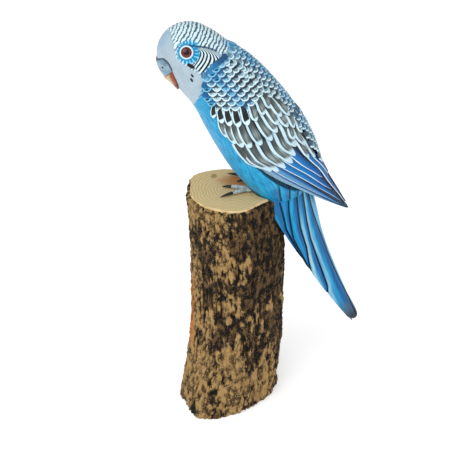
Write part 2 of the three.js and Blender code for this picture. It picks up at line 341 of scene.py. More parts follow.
# Grooves between the tail feathers, lowest first: distance along the tail and height in the slanted view
TAIL_GROOVES = (
    ((-6, -5.8), (4, -9.2), (12, -10.9), (19, -12.6), (90, -13)),
    ((-2, -1.4), (0, -2.4), (10, -6.8), (20, -10), (26, -11.6), (90, -12.5)),
    ((-2, 3.6), (5, 0.5), (12, -2.3), (22, -5.5), (34, -7.5), (43, -10.3), (50, -12), (90, -12.2)),
    ((-2, 6.4), (9, 2.9), (20, -0.6), (31, -3.5), (44, -5.2), (61, -7.4), (66, -9.5), (90, -11.8)),
    ((-2, 9.3), (13, 5.6), (19, 4.5), (35, 2.6), (48, 1.1), (61, 0.3), (73, 0.2), (85, -0.6), (90, -0.8)),
)
TAIL_EDGE_TURN = 97
TAIL_TOP_SHARE = 0.86


def tail_lane(along, height):
    """Feather number and the share across it, between the grooves on each side of a point."""
    lines = [np.interp(along, [q for q, _ in line], [n for _, n in line]) for line in TAIL_GROOVES]
    lines = [np.full_like(along, -16.0)] + lines + [lines[-1] + 7.5]
    lane, share, near = np.zeros_like(along), np.zeros_like(along), np.full_like(along, 9.0)
    for k in range(len(lines) - 1):
        width = np.maximum(lines[k + 1] - lines[k], 0.3)
        inside = (height >= lines[k]) & (height < lines[k + 1])
        lane = np.where(inside, k, lane)
        share = np.where(inside, (height - lines[k]) / width, share)
    for line in lines[1:-1]:
        near = np.minimum(near, np.abs(height - line))
    return lane, share, near


TAIL_TURN = math.radians(TAIL["pitch"])
TAIL_UP = np.array([math.sin(TAIL_TURN), 0, math.cos(TAIL_TURN)])
TAIL_ALONG = np.array([math.cos(TAIL_TURN), 0, -math.sin(TAIL_TURN)])


def tail_place(points):
    """Distance along the tail of points on the bird, and how far along and up the slanted view shows them."""
    local = points - np.array([TAIL["x"], 0, TAIL["z"]])
    side = np.abs(points[:, 1])
    return local @ TAIL_ALONG, local @ TAIL_ALONG + 0.518 * side, local @ TAIL_UP - 0.255 * side


# Skin of head, neck and body
MASK_EDGE_S = (0, 1.0, 1.9, 3.16, 4.2, 5.3, 6.6, 8.1, 8.8, 9.3, 9.74, 10.27, 10.5, 17)
MASK_EDGE_TURN = (-60, -10, 29, 62, 78, 91, 94, 92, 87, 97, 114, 144, 200, 300)


# Throat spots, as seen 30 degrees from above: across, up, half length, half width, slope in degrees
THROAT_SPOTS = (
    (-19.0, 165.1, 2.2, 0.92, -28),
    (-18.4, 160.7, 1.1, 0.5, -50),
    (-18.7, 158.7, 1.15, 0.56, -56),
)


def eye_frame():
    centre = on_body(EYE_STATION, EYE_ANGLE)
    ahead = on_body(EYE_STATION - 0.3, EYE_ANGLE) - on_body(EYE_STATION + 0.3, EYE_ANGLE)
    up = on_body(EYE_STATION, EYE_ANGLE - 4) - on_body(EYE_STATION, EYE_ANGLE + 4)
    normal = np.cross(ahead, up)
    normal /= np.linalg.norm(normal)
    if normal[1] > 0:
        normal = -normal
    ahead /= np.linalg.norm(ahead)
    return centre, ahead, np.cross(normal, ahead) * (1 if np.cross(normal, ahead)[2] > 0 else -1), normal


EYE_CENTRE, EYE_AHEAD, EYE_UP, EYE_NORMAL = eye_frame()


def arc_length():
    """Distance along the crown, nape and back for each fine step of s."""
    s = np.linspace(0, 17, 681)
    p = on_body(s, np.full_like(s, 40.0))
    return s, np.concatenate([[0], np.cumsum(np.linalg.norm(np.diff(p, axis=0), axis=1))])


ARC_S, ARC = arc_length()


def skin_fields(piece, s, turn):
    side = np.where(turn > 180, 360 - turn, turn)
    p = on_body(s, turn)
    left = np.stack([p[:, 0], -np.abs(p[:, 1]), p[:, 2]], -1)
    away = left - EYE_CENTRE
    top_line = 61 - 7.3 * (s - 5.9)
    below = side - top_line
    phase = s - 1.62 * (1 - np.exp(-np.maximum(below, 0) / 6.5))
    add_field(piece, "mask", (side - np.interp(s, MASK_EDGE_S, MASK_EDGE_TURN)) * 0.25)
    add_field(piece, "arc", np.interp(s, ARC_S, ARC))
    add_field(piece, "side", side)
    add_field(piece, "eye_ahead", away @ EYE_AHEAD)
    add_field(piece, "eye_up", away @ EYE_UP)
    add_field(piece, "below", below)
    add_field(piece, "stripe", phase)
    add_field(piece, "station", s)
    up = left[:, 2] * math.cos(math.radians(30)) + left[:, 1] * math.sin(math.radians(30))
    spots = []
    for x, y, long, wide, slope in THROAT_SPOTS:
        c, d = math.cos(math.radians(slope)), math.sin(math.radians(slope))
        dx, dy = left[:, 0] - x, up - y
        spots.append(np.hypot((dx * c + dy * d) / long, (dy * c - dx * d) / wide))
    add_field(piece, "spot", np.minimum.reduce(spots))


# Raster of the side view that holds the wing's cover, in millimetres
CELL = 0.8
RASTER = (180, 200)
RASTER_X, RASTER_Z = -50, 90
BARE = 99.0


def wing_cover():
    """Half width left free under the wing, on a raster of the side view, with a steep bank round it."""
    i, v = np.meshgrid(np.linspace(0, 13, 500), np.linspace(0, 1, 300), indexing="ij")
    p = on_wing(i, v, -1.5)
    cover = np.full(RASTER, BARE)
    x, z = ((p[..., 0] - RASTER_X) / CELL).astype(int), ((p[..., 2] - RASTER_Z) / CELL).astype(int)
    np.minimum.at(cover, (x, z), -p[..., 1])
    for _ in range(7):
        near = [np.roll(cover, step, axis) for step in (1, -1) for axis in (0, 1)]
        cover = np.where(cover > 90, np.minimum.reduce(near) + 1.2, cover)
    return cover


def pressed(points):
    """Body points moved in where the wing lies over them."""
    cover = np.minimum(wing_cover(), 26)
    x = np.clip((points[:, 0] - RASTER_X) / CELL - 0.5, 0, cover.shape[0] - 2)
    z = np.clip((points[:, 2] - RASTER_Z) / CELL - 0.5, 0, cover.shape[1] - 2)
    i, k = x.astype(int), z.astype(int)
    fx, fz = x - i, z - k
    low = cover[i, k] * (1 - fx) + cover[i + 1, k] * fx
    high = cover[i, k + 1] * (1 - fx) + cover[i + 1, k + 1] * fx
    limit = np.maximum(low * (1 - fz) + high * fz, 0.3)
    points[:, 1] = np.clip(points[:, 1], -limit, limit)
    return points


def make_skin():
    made = {}

    def place(across, along):
        s = SKIN_END * along
        turn = 360 * across
        plain = on_body(s, turn)
        far, seen, height = tail_place(plain)
        _, share, near = tail_lane(np.maximum(seen - 5, far), height)
        fade = np.clip((seen + 5) / 6, 0, 1) * (plain[:, 2] > 100)
        sink = 2.6 * np.clip((far + 3) / 9, 0, 1)
        plain = on_body(s, turn, -0.75 * fade * np.exp(-((near / 0.45) ** 2)) - sink)
        tucked = pressed(plain.copy())
        made["where"] = (s, turn)
        # tucked is how far the wing pressed the body in; it sets the painted shade under the wing's lower
        # edge
        made["fields"] = {"tucked": np.abs(plain[:, 1]) - np.abs(tucked[:, 1]), "rump": fade,
                          "share": share, "groove": near}
        return tucked

    skin = grid_piece("bird_skin", 200, 300, place, (0, 0, 175))
    skin_fields(skin, *made["where"])
    for name, values in made["fields"].items():
        add_field(skin, name, values)
    return skin


def skin_finish():
    f = Finish("painted_head_and_body", roughness=0.42, coat=0.12)
    mask, arc, side = f.field("mask"), f.field("arc"), f.field("side")
    ahead, up = f.field("eye_ahead"), f.field("eye_up")
    below, stripe, station = f.field("below"), f.field("stripe"), f.field("station")
    rough_edge = (f.noise(900, 2) - 0.5) * 3.0
    strand = f.noise(1.0, 3, f.vector(side * 0.9, arc * 0.16, 0.0))
    fine = f.noise(1.0, 2, f.vector(side * 2.2, arc * 0.12, 3.0))
    # Body blue, brighter below, with fine strokes along the body
    body = f.shades(strand, 0.36, 0.60, (0, 104, 154), (8, 160, 208))
    body = f.mix(fine.rise(0.55, 0.66) * 0.6, body, colour(96, 196, 232))
    body = f.mix(side.rise(125, 170) * 0.35, body, colour(52, 150, 196))
    # Crown and nape bars, broken into short strokes
    wobble = (f.noise(420, 2) - 0.5) * 2.2
    bars = ((arc + wobble) * 3.3).sine()
    breaks = f.noise(1.0, 2, f.vector(side * 0.35, arc * 1.2, 7.0))
    tone = bars * 0.5 + 0.52 + (breaks - 0.5) * 1.3 + (1 - station.rise(2.5, 6.0)) * 0.12
    nape = f.mix(tone.rise(0.16, 0.62), colour(54, 88, 104), WHITE)
    cold = f.shades(tone, 0.30, 0.62, (0, 74, 128), (64, 172, 218))
    blue_tint = f.noise(130, 2).rise(0.40, 0.58) * station.rise(8.2, 9.8)
    nape = f.mix((blue_tint + station.rise(9.6, 10.6)).clamped() * 0.85, nape, cold)
    distance = (ahead * ahead + up * up).root()
    # Stripes that sweep down behind the eye
    bands = ((stripe + (f.noise(300, 1) - 0.5) * 0.08) * 20.3).sine()
    line = f.mix(stripe.rise(7.4, 8.6), BLACK, colour(8, 76, 134))
    near_eye = 1 - distance.rise(4.0, 8.0)
    dark_bar = f.mix(near_eye, line, colour(0, 78, 128))
    light_bar = f.mix(near_eye * 0.7, WHITE, colour(70, 170, 214))
    cheek = f.mix(bands.rise(-0.15, 0.2), dark_bar, light_bar)
    cheek_zone = below.rise(0.5, 1.5) * stripe.rise(5.95, 6.1) * (1 - stripe.rise(8.6, 9.1))
    cheek_zone = cheek_zone * (1 - side.rise(86, 92))
    # Blue ground round the eye with thin pale strokes
    turn = Value(f, f.node("ShaderNodeMath", {"operation": "ARCTAN2"}, {0: up, 1: ahead}).outputs[0])
    ray = ((turn * 17.0) + (f.noise(300, 2) - 0.5) * 9.0).sine()
    eye_ground = f.shades(strand, 0.3, 0.7, (0, 104, 156), (0, 150, 204))
    rays = f.mix(ray.rise(0.35, 0.85) * distance.rise(3.7, 4.6), eye_ground, colour(120, 204, 230))
    reach = f.noise(1.0, 2, f.vector(turn * 7.0, 0.0, 0.0)) * 6.0 + 2.6 + (ahead * -0.16) + (up * 0.10)
    ray_zone = (reach - distance).rise(-0.7, 0.7) * (1 - cheek_zone * (ahead * -1.0).rise(2.6, 4.6))
    # Grey mask with a soft, cool shade
    grey = f.mix(f.noise(220, 3).rise(0.35, 0.7) * 0.5, MASK_GREY, colour(146, 166, 178))
    grey = f.mix((1 - station.rise(1.5, 4.0)) * 0.35, grey, colour(130, 176, 214))
    rump = station.rise(9.6, 10.6) * side.rise(24, 40)
    outside = f.mix((station.rise(9.6, 11.0) * side.rise(60, 80) + rump).clamped(), nape, body)
    paint = f.mix((mask + rough_edge * 0.9).rise(-1.0, 1.2), outside, grey)
    paint = f.mix(cheek_zone, paint, cheek)
    paint = f.mix(ray_zone, paint, rays)
    # Dark line over the cheek stripes
    brow = (1 - (below + 0.6).size().rise(0.9, 2.8)) * stripe.rise(5.6, 5.9) * (1 - station.rise(8.3, 9.0))
    paint = f.mix(brow * 0.9, paint, colour(0, 52, 82))
    paint = f.mix(1 - f.field("spot").rise(0.86, 1.06), paint, colour(10, 12, 14))
    lane_paint = f.mix(f.field("share").rise(0.2, 0.8), colour(4, 156, 204), colour(0, 96, 156))
    paint = f.mix(f.field("rump").rise(0.3, 1.0) * 0.7, paint, lane_paint)
    paint = f.mix((1 - f.field("groove").rise(0.3, 0.65)) * f.field("rump") * 0.95, paint, colour(2, 26, 48))
    # Painted shade: dark navy on the body just under the wing's lower edge, where the wing presses it in
    paint = f.mix(f.field("tucked").rise(0.2, 0.8) * station.rise(9.4, 9.9) * 0.9, paint, colour(2, 26, 48))
    f.coloured(paint)
    f.rough(f.noise(400, 2) * 0.2 + 0.32)
    f.bumped(strand * 0.5 + fine * 0.3 + bars * 0.12, 0.16)
    return f.material


# Feather tiles and vanes
TILE_COLUMNS, TILE_ROWS = 8, 9
ROUND_FROM = 0.5


def tile_shape(across, along):
    """Sideways place, from -1 to 1, of the points of a round-tipped tile that is 1 long."""
    t = np.clip((along - ROUND_FROM) / (1 - ROUND_FROM), 0, 1)
    return across * np.sqrt(np.maximum(1 - t * t, 0.0004))


class Tiles:
    """Collects round-tipped feathers that are then joined to one piece."""

    def __init__(self, columns=TILE_COLUMNS, rows=TILE_ROWS):
        deselect()
        bpy.ops.mesh.primitive_grid_add(x_subdivisions=columns, y_subdivisions=rows, size=2)
        self.model = bpy.context.object
        bpy.ops.object.shade_smooth()
        place = corners(self.model)
        self.across = place[:, 0]
        self.along = np.sin((place[:, 1] * 0.5 + 0.5) * math.pi / 2) ** 0.9
        self.width = tile_shape(self.across, self.along)
        self.copies = []

    def add(self, points, outward, **fields):
        piece = self.model.copy()
        piece.data = self.model.data.copy()
        bpy.context.collection.objects.link(piece)
        set_points(piece, points)
        face = piece.data.polygons[len(piece.data.polygons) // 2]
        if face.normal.dot(Vector(outward)) < 0:
            piece.data.flip_normals()
        add_field(piece, "tile_across", self.across)
        add_field(piece, "tile_along", self.along)
        for name, value in fields.items():
            add_field(piece, name, np.full(len(self.across), value))
        self.copies.append(piece)

    def join(self, name):
        count = len(self.copies)
        cells = math.ceil(math.sqrt(count))
        for k, piece in enumerate(self.copies):
            bake = piece.data.uv_layers.new(name="OFBake")
            flat = np.empty(len(bake.data) * 2)
            piece.data.uv_layers[0].data.foreach_get("uv", flat)
            uv = flat.reshape(-1, 2) * 0.9 + 0.05
            uv = (uv + np.array([k % cells, k // cells])) / cells
            bake.data.foreach_set("uv", uv.ravel())
        bpy.data.objects.remove(self.model)
        return joined(self.copies, name)


def wing_normal(i, v):
    du = on_wing(i + 0.05, v) - on_wing(i - 0.05, v)
    dv = on_wing(i, v + 0.01) - on_wing(i, v - 0.01)
    n = np.cross(du, dv)
    n /= np.linalg.norm(n) + 1e-9
    return n if n[1] < 0 else -n


def scallop(tiles, point, normal, down, half, length, lift, fields):
    """A small tile that leaves the surface at its tip."""
    down = down - normal * down.dot(normal)
    down /= np.linalg.norm(down)
    sideways = np.cross(normal, down)
    a, b = tiles.width * half, tiles.along
    height = -0.45 + (lift + 0.45) * b**0.7 + 0.22 * (1 - tiles.across**2) * b - a * a / 34
    rim = np.maximum(np.abs(tiles.across) ** 8, np.where(tiles.along > 0.985, 1, 0))
    height = height - 0.5 * rim
    p = point + a[:, None] * sideways + ((b - 0.72) * length)[:, None] * down + height[:, None] * normal
    tiles.add(p, normal, **fields)


VANE_BOW = 0.012


def vane(tiles, start, end, half_start, half_end, lift, tilt, fields):
    """A long feather on the wing's own rows, tilted so that one edge is raised over the next feather."""
    b, w = tiles.along, tiles.width
    i = start[0] + (end[0] - start[0]) * b
    half = half_start + (half_end - half_start) * b
    v = start[1] + (end[1] - start[1]) * b + VANE_BOW * np.sin(math.pi * b) + w * half
    rim = np.maximum(np.abs(tiles.across) ** 10, np.where(tiles.along > 0.99, 1, 0))
    out = -0.3 + (lift + 0.3) * np.minimum(b * 2.5, 1) + tilt * tiles.across
    out = out + 0.18 * (1 - tiles.across**2) - 0.5 * rim
    i_mid, v_mid = np.array(i.mean()), np.array(v.mean())
    tiles.add(on_wing(i, v, out), on_wing(i_mid, v_mid, 3.0) - on_wing(i_mid, v_mid, 0.0), **fields)


SCALLOP_STEP, SCALLOP_WIDTH = 2.6, 5.0


def shoulder_tiles(name):
    """Rows of scallops that point down over the shoulder, level across the wing."""
    tiles = Tiles(6, 7)
    fine_i, fine_v = np.meshgrid(np.linspace(0.0, 4.75, 200), np.linspace(0.0, 1.02, 120),
                                 indexing="ij")
    p = on_wing(fine_i, fine_v)
    level = p[..., 2] + 0.577 * p[..., 1]
    rows = np.arange(level.max(), level.min(), -SCALLOP_STEP)
    for r, height in enumerate(rows):
        for x in np.arange(-25, 45, SCALLOP_WIDTH * 0.93):
            at = x + (SCALLOP_WIDTH * 0.46 if r % 2 else 0) + RNG.uniform(-0.4, 0.4)
            gap = np.hypot(p[..., 0] - at, level - height)
            k = np.unravel_index(np.argmin(gap), gap.shape)
            i, v = fine_i[k], fine_v[k]
            edge = 4.15 - 1.0 * max(0.0, v - 0.72) / 0.28 + 0.9 * max(0.0, 0.6 - v)
            if gap[k] > 0.9 or i > edge or i < 0.12:
                continue
            normal = wing_normal(i, v)
            along = on_wing(i + 0.1, v) - on_wing(i, v)
            down = np.array([0.15, 0, -1.0]) + 0.5 * (1 - v) * along / np.linalg.norm(along)
            blue = np.exp(-((v - 0.52) / 0.12) ** 2) * 0.7 + np.exp(-(i / 1.3) ** 2) * 0.9 + 0.9 * (v > 0.93)
            # shaded sets how much painted shade the scallop's root gets
            scallop(tiles, p[k], normal, down, SCALLOP_WIDTH * 0.54, 4.9, 0.75,
                    {"kind": 0.0, "blue": float(np.clip(blue + RNG.uniform(-0.15, 0.15), 0, 1)),
                     "chance": RNG.uniform(), "shaded": float(np.clip(i / 0.8, 0.45, 1))})
    return tiles.join(name)


def mantle_tiles(name):
    """Scallops down the nape and back between the wings."""
    tiles = Tiles(6, 7)
    first, last = ARC[np.searchsorted(ARC_S, 9.7)], ARC[np.searchsorted(ARC_S, 15.4)]
    s_values = np.interp(np.arange(first, last, 2.7), ARC, ARC_S)
    for r, s in enumerate(s_values):
        reach = np.interp(s, (9.3, 10.3, 11.7, 13.0, 14.2, 15.3), (62, 50, 40, 29, 20, 3))
        girth = through(BODY, s)[4] * math.radians(1.0)
        step = 4.3 / girth
        count = int(reach / step)
        for k in range(-count - 1, count + 2):
            turn = (k + (0.5 if r % 2 else 0.0)) * step
            if abs(turn) > reach:
                continue
            out = 0.5 if s < 13 else 1.2 + 1.2 * (s - 13)
            point = on_body(np.array(s), np.array(turn), out)
            ahead = on_body(np.array(s + 0.1), np.array(turn), out) - point
            across = on_body(np.array(s), np.array(turn + 2.0), out) - point
            normal = np.cross(ahead, across)
            normal /= np.linalg.norm(normal)
            if normal[2] < 0:
                normal = -normal
            edge_blue = np.interp(abs(turn), (0, 14, 30), (0.9, 0.6, 0.15))
            edge_blue = edge_blue * np.interp(s, (10, 13.5, 15), (1, 0.7, 0.3))
            # shaded sets how much painted shade the scallop's root gets
            scallop(tiles, point, normal, ahead, 2.4, 4.7, 0.6,
                    {"kind": 0.0, "blue": float(np.clip(edge_blue + RNG.uniform(-0.2, 0.2), 0, 1)),
                     "chance": RNG.uniform(), "shaded": float(np.clip((s - 9.8) / 0.9, 0.1, 0.9))})
    return tiles.join(name)


# Wing feathers as root row, root column, tip row, tip column
STREAKS = ((2.75, 0.92, 3.55, 1.0), (3.0, 0.83, 4.05, 0.92), (3.3, 0.74, 4.38, 0.835),
           (3.6, 0.64, 4.62, 0.74), (3.75, 0.52, 4.75, 0.63), (3.85, 0.40, 4.78, 0.51),
           (3.9, 0.27, 4.74, 0.38), (3.9, 0.15, 4.7, 0.25))
COVERTS = ((3.6, 0.93, 4.95, 0.985), (3.9, 0.87, 5.5, 0.945), (4.1, 0.79, 5.85, 0.89),
           (4.2, 0.70, 6.05, 0.81), (4.3, 0.58, 6.15, 0.68), (4.3, 0.45, 6.2, 0.54),
           (4.3, 0.34, 5.95, 0.42), (4.2, 0.25, 5.62, 0.335), (4.1, 0.14, 5.4, 0.22))
SECONDARIES = ((5.5, 0.95, 8.05, 1.0), (5.8, 0.90, 8.3, 0.95), (5.9, 0.80, 8.36, 0.87),
               (5.9, 0.66, 8.2, 0.74), (5.8, 0.50, 8.0, 0.585), (5.6, 0.38, 7.7, 0.455),
               (5.4, 0.24, 7.35, 0.33))
TERTIALS = ((6.9, 0.20, 8.05, 0.28), (6.9, 0.06, 8.2, 0.13), (6.2, 0.12, 7.55, 0.19),
            (5.9, 0.01, 7.05, 0.07), (5.8, 0.20, 7.0, 0.26), (5.3, 0.08, 6.45, 0.16),
            (4.8, 0.18, 6.1, 0.25), (4.4, 0.05, 5.7, 0.11))
PRIMARIES = ((7.2, 0.97, 13.0, 0.86), (7.3, 0.86, 12.3, 0.66), (7.3, 0.74, 11.5, 0.42),
             (7.2, 0.60, 10.5, 0.36), (7.1, 0.44, 9.5, 0.34), (7.5, 0.20, 12.0, 0.14),
             (7.2, 0.08, 9.6, 0.06))


def wing_vanes(name):
    """All long feathers of one wing. A group gives its kind, root and tip half widths, lift and tilt."""
    tiles = Tiles(10, 18)
    groups = ((PRIMARIES, 2.0, 0.105, 0.10, 0.25, 0.28), (SECONDARIES, 1.0, 0.085, 0.098, 0.55, 0.30),
              (TERTIALS, 1.0, 0.062, 0.075, 0.85, 0.26), (COVERTS, 1.0, 0.06, 0.072, 1.0, 0.30),
              (STREAKS, 3.0, 0.06, 0.072, 1.15, 0.26))
    for feathers, kind, root, tip, lift, tilt in groups:
        for order, (i0, v0, i1, v1) in enumerate(feathers):
            rise = lift + 0.05 * order
            plain_streak = feathers is STREAKS and order > 4
            vane(tiles, (i0, v0), (i1, v1), root, tip, rise, tilt,
                 {"kind": 1.0 if plain_streak else kind, "blue": order / (len(feathers) - 1),
                  "chance": RNG.uniform(), "shaded": 1.0})
    return tiles.join(name)


def make_wing_base(name):
    """The wing's body under its feathers, closed round its edges."""
    def place(across, along):
        upper = across < 0.5
        v = np.where(upper, across * 2, 2 - across * 2)
        i = 13 * along
        deep = np.where(upper, 0.0, -2.0 + 1.2 * np.clip((along - 0.6) / 0.4, 0, 1)) - 0.2
        return on_wing(i, v, deep)

    return grid_piece(name, 120, 130, place, (10, 0, 150))


def feather_finish():
    f = Finish("painted_feathers", roughness=0.42, coat=0.12)
    across, along = f.field("tile_across"), f.field("tile_along")
    kind, blue, chance = f.field("kind"), f.field("blue"), f.field("chance")
    t = ((along - ROUND_FROM) * (1 / (1 - ROUND_FROM))).clamped()
    t2 = t * t
    outline = (1 - (1 - t2) * (1 - across * across)).root()
    wob = (f.noise(700, 2) - 0.5) * 0.14
    edge = outline + wob
    grain = f.noise(1.0, 3, f.vector(across * 3.0 + chance * 50.0, along * 2.0, chance * 9.0))
    # Small scallops: painted shade at the root under the row above, grey or blue middle, white rim
    middle = f.shades(grain, 0.35, 0.65, (92, 124, 138), (176, 206, 216))
    cold = f.shades(grain, 0.4, 0.6, (0, 108, 158), (20, 168, 216))
    middle = f.mix(blue * 0.9, middle, cold)
    rim = f.mix(blue.rise(0.35, 0.9) * 0.8, WHITE, colour(60, 170, 218))
    # Painted shade on each scallop's root, where the row above hangs over it
    root = (1 - (along + wob * 0.5).rise(0.50, 0.66)) * f.field("shaded")
    small = f.mix(root * 0.92, middle, f.mix(blue, colour(14, 26, 32), colour(0, 82, 136)))
    small = f.mix(edge.rise(0.60, 0.70) * along.rise(0.55, 0.62), small, rim)
    small = f.mix(edge.rise(0.93, 0.97), small, colour(8, 24, 34))
    dot = across * across * 1.5 + (along - 0.74) * (along - 0.74) * 22.0
    small = f.mix((1 - dot.rise(0.12, 0.35)) * blue.rise(0.72, 0.85) * 0.9, small, colour(6, 18, 28))
    # Coverts and secondaries: grey middle, black line inside a white rim, dark outline, painted shade at the
    # root
    grey = f.shades(grain, 0.3, 0.7, (90, 104, 106), (158, 170, 170))
    black_line = (across.rise(0.05, 0.5) * 0.7 + along.rise(0.55, 0.85) * 0.3).clamped()
    grey = f.mix(black_line, grey, colour(14, 22, 24))
    # Painted shade at the root of each large feather, under the tips of the tier above
    grey = f.mix((1 - along.rise(0.3, 0.65)) * 0.75, grey, colour(20, 30, 32))
    tip = along.rise(0.78, 0.88)
    band = across.rise(0.44, 0.54) + tip * edge.rise(0.40, 0.55)
    large = f.mix(band.clamped(), grey, rim_white(f, grain))
    large = f.mix(across.rise(0.93, 0.99) + edge.rise(0.985, 1.0) * tip, large, BLACK)
    large = f.mix((1 - across.rise(-0.86, -0.7)) * 0.8, large, colour(28, 40, 42))
    # Streaks: black middle in a broad white tip
    white_part = across.rise(0.50, 0.62) + along.rise(0.72, 0.80) + (1 - across.rise(-0.8, -0.68))
    streak = f.mix(white_part.clamped(), BLACK, colour(206, 234, 244))
    streak = f.mix(across.rise(0.9, 0.97) + edge.rise(0.96, 1.0), streak, BLACK)
    # Primaries: blue with a thin white edge and a dark gap
    flight = f.shades(across, -0.6, 0.5, (0, 70, 128), (0, 116, 182))
    flight = f.mix((1 - blue.rise(0.0, 0.3)) * across.rise(-0.4, 0.3) * 0.8, flight, colour(140, 176, 188))
    flight = f.mix(blue * along.rise(0.3, 0.9) * 0.85, flight, colour(6, 56, 146))
    flight = f.mix(grain.rise(0.55, 0.75) * 0.25, flight, colour(60, 150, 206))
    flight = f.mix(across.rise(0.70, 0.80), flight, colour(214, 232, 244))
    gap = across.rise(0.90, 0.95) + (1 - across.rise(-0.75, -0.45)) * 0.85
    flight = f.mix(gap, flight, colour(8, 26, 40))
    paint = f.mix(kind.rise(0.4, 0.6), small, large)
    paint = f.mix(kind.rise(1.4, 1.6), paint, flight)
    paint = f.mix(kind.rise(2.4, 2.6), paint, streak)
    f.coloured(paint)
    f.rough(grain * 0.25 + 0.3)
    f.bumped(grain + f.noise(1.0, 2, f.vector(across * 9.0, along * 1.0, chance * 9.0)) * 0.6, 0.12)
    return f.material


def rim_white(f, grain):
    return f.mix(grain.rise(0.3, 0.7), colour(176, 210, 224), WHITE)


def under_wing_finish():
    f = Finish("dark_wing_ground", roughness=0.5, coat=0.1)
    x = f.axes()[0]
    shade = f.noise(400, 3)
    dark = f.shades(shade, 0.35, 0.65, (10, 18, 24), (30, 44, 52))
    light = f.shades(shade, 0.35, 0.65, (34, 52, 70), (60, 78, 92))
    f.coloured(f.mix(x.rise(0.030, 0.034), dark, light))
    f.rough(shade * 0.2 + 0.4)
    f.bumped(shade, 0.15)
    return f.material


def make_tail():
    made = {}

    def place(across, along):
        top = across < TAIL_TOP_SHARE
        below = (across - TAIL_TOP_SHARE) / (1 - TAIL_TOP_SHARE)
        turn = np.where(top, -TAIL_EDGE_TURN + 2 * TAIL_EDGE_TURN * across / TAIL_TOP_SHARE,
                        TAIL_EDGE_TURN - 2 * TAIL_EDGE_TURN * below)
        notch = 5.5 * np.exp(-((turn - 8) / 15) ** 2) + 2.2 * (np.abs(turn) / TAIL_EDGE_TURN) ** 3
        q = -8 + (TAIL["length"] + 8.4 - notch) * along
        p = on_tail(q, turn)
        lane, share, near = tail_lane(q, tail_place(p)[2])
        round_end = np.clip((along - 0.975) / 0.025, 0, 1) ** 2
        groove = 0.75 * np.exp(-((near / 0.42) ** 2))
        lift = 0.45 * np.sin(math.pi * np.clip(share, 0, 1)) ** 0.6 - groove - 0.2
        lift = np.where(top, lift, 0) - 1.1 * round_end
        p = on_tail(q, turn, lift)
        under = in_tail(q, tail_floor(q), on_tail(q, turn)[:, 1])
        made.update(lane=lane, share=share, groove=near, far_along=q, top=np.where(top, 1.0, 0.0))
        return np.where(top[:, None], p, under)

    tail = grid_piece("tail_skin", 240, 300, place, (45, 0, 75))
    for name, values in made.items():
        add_field(tail, name, values)
    return tail


def tail_floor(q):
    return -10.9 + 7.2 * np.clip(q / TAIL["length"], 0, 1) ** 2.4


def tail_finish():
    f = Finish("painted_tail", roughness=0.42, coat=0.12)
    lane, share, groove = f.field("lane"), f.field("share"), f.field("groove")
    far, top = f.field("far_along"), f.field("top")
    strand = f.noise(1.0, 3, f.vector(share * 5.0 + lane * 9.0, far * 0.06, 2.0))
    cyan = f.shades(strand, 0.35, 0.65, (0, 116, 168), (4, 156, 204))
    deep = f.shades(strand, 0.35, 0.65, (0, 76, 132), (0, 108, 170))
    pale = f.shades(strand, 0.35, 0.65, (112, 172, 196), (170, 208, 220))
    paint = f.mix(share.rise(0.25, 0.75), cyan, deep)
    fourth = lane.rise(2.5, 2.6) * (1 - lane.rise(3.4, 3.5))
    paint = f.mix(fourth * (1 - share.rise(0.25, 0.6)) * far.rise(5, 30) * 0.85, paint, pale)
    fifth = lane.rise(3.5, 3.6) * (1 - lane.rise(4.4, 4.5))
    paint = f.mix(fifth * share.rise(0.55, 0.9), paint, deep)
    paint = f.mix(fifth * (1 - share.rise(0.1, 0.45)) * 0.7, paint, pale)
    ridge = f.shades(strand, 0.3, 0.7, (60, 150, 200), (140, 202, 226))
    paint = f.mix(lane.rise(4.4, 4.6) * 0.75, paint, ridge)
    tip = (far + (strand - 0.5) * 14).rise(70, 84)
    paint = f.mix(tip * 0.85, paint, colour(70, 88, 98))
    paint = f.mix((far + (strand - 0.5) * 8).rise(79, 87) * 0.9, paint, colour(18, 26, 32))
    paint = f.mix((1 - groove.rise(0.30, 0.62)) * 0.95, paint, colour(4, 26, 48))
    paint = f.mix(1 - top, paint, deep)
    f.coloured(paint)
    f.rough(strand * 0.2 + 0.26)
    f.bumped(strand, 0.2)
    return f.material


# Face pieces: sections with the half width there, in degrees
CERE_HALVES = ((3.70, 34), (3.80, 46), (4.05, 60), (4.54, 66), (4.92, 67.5), (5.35, 66.5), (5.88, 63),
               (6.14, 59))
UPPER_HALVES = ((6.08, 58), (6.4, 55), (6.79, 48.5), (7.37, 41.5), (7.95, 32.5))
LOWER_HALVES = ((7.88, 34), (8.15, 28), (8.4, 19), (8.62, 6))


def face_patch(name, halves, proud, ridge, top_line=0.0, bow=0.0):
    """A raised plate on the front of the face, its rim turned down into the wood.

    halves lists the sections it runs over with the half width there, in degrees.
    """
    made = {}

    def place(across, along):
        a = across * 2 - 1
        s = halves[0][0] + (halves[-1][0] - halves[0][0]) * along - bow * (1 - a * a) * (1 - along)
        half = np.interp(s, [row[0] for row in halves], [row[1] for row in halves])
        rim = np.maximum(np.abs(a) ** 14, np.maximum((1 - along * 2) ** 24, (along * 2 - 1) ** 24))
        made.update(edge=np.maximum(np.abs(a), top_line - along * 1.1), station=s)
        raised = proud + ridge * np.exp(-(a * 1.9) ** 2)
        return on_body(s, 180 + a * half, raised * (1 - rim) - 0.6 * rim)

    patch = grid_piece(name, 64, 40, place, (-20, 0, 199))
    for field, values in made.items():
        add_field(patch, field, values)
    return patch


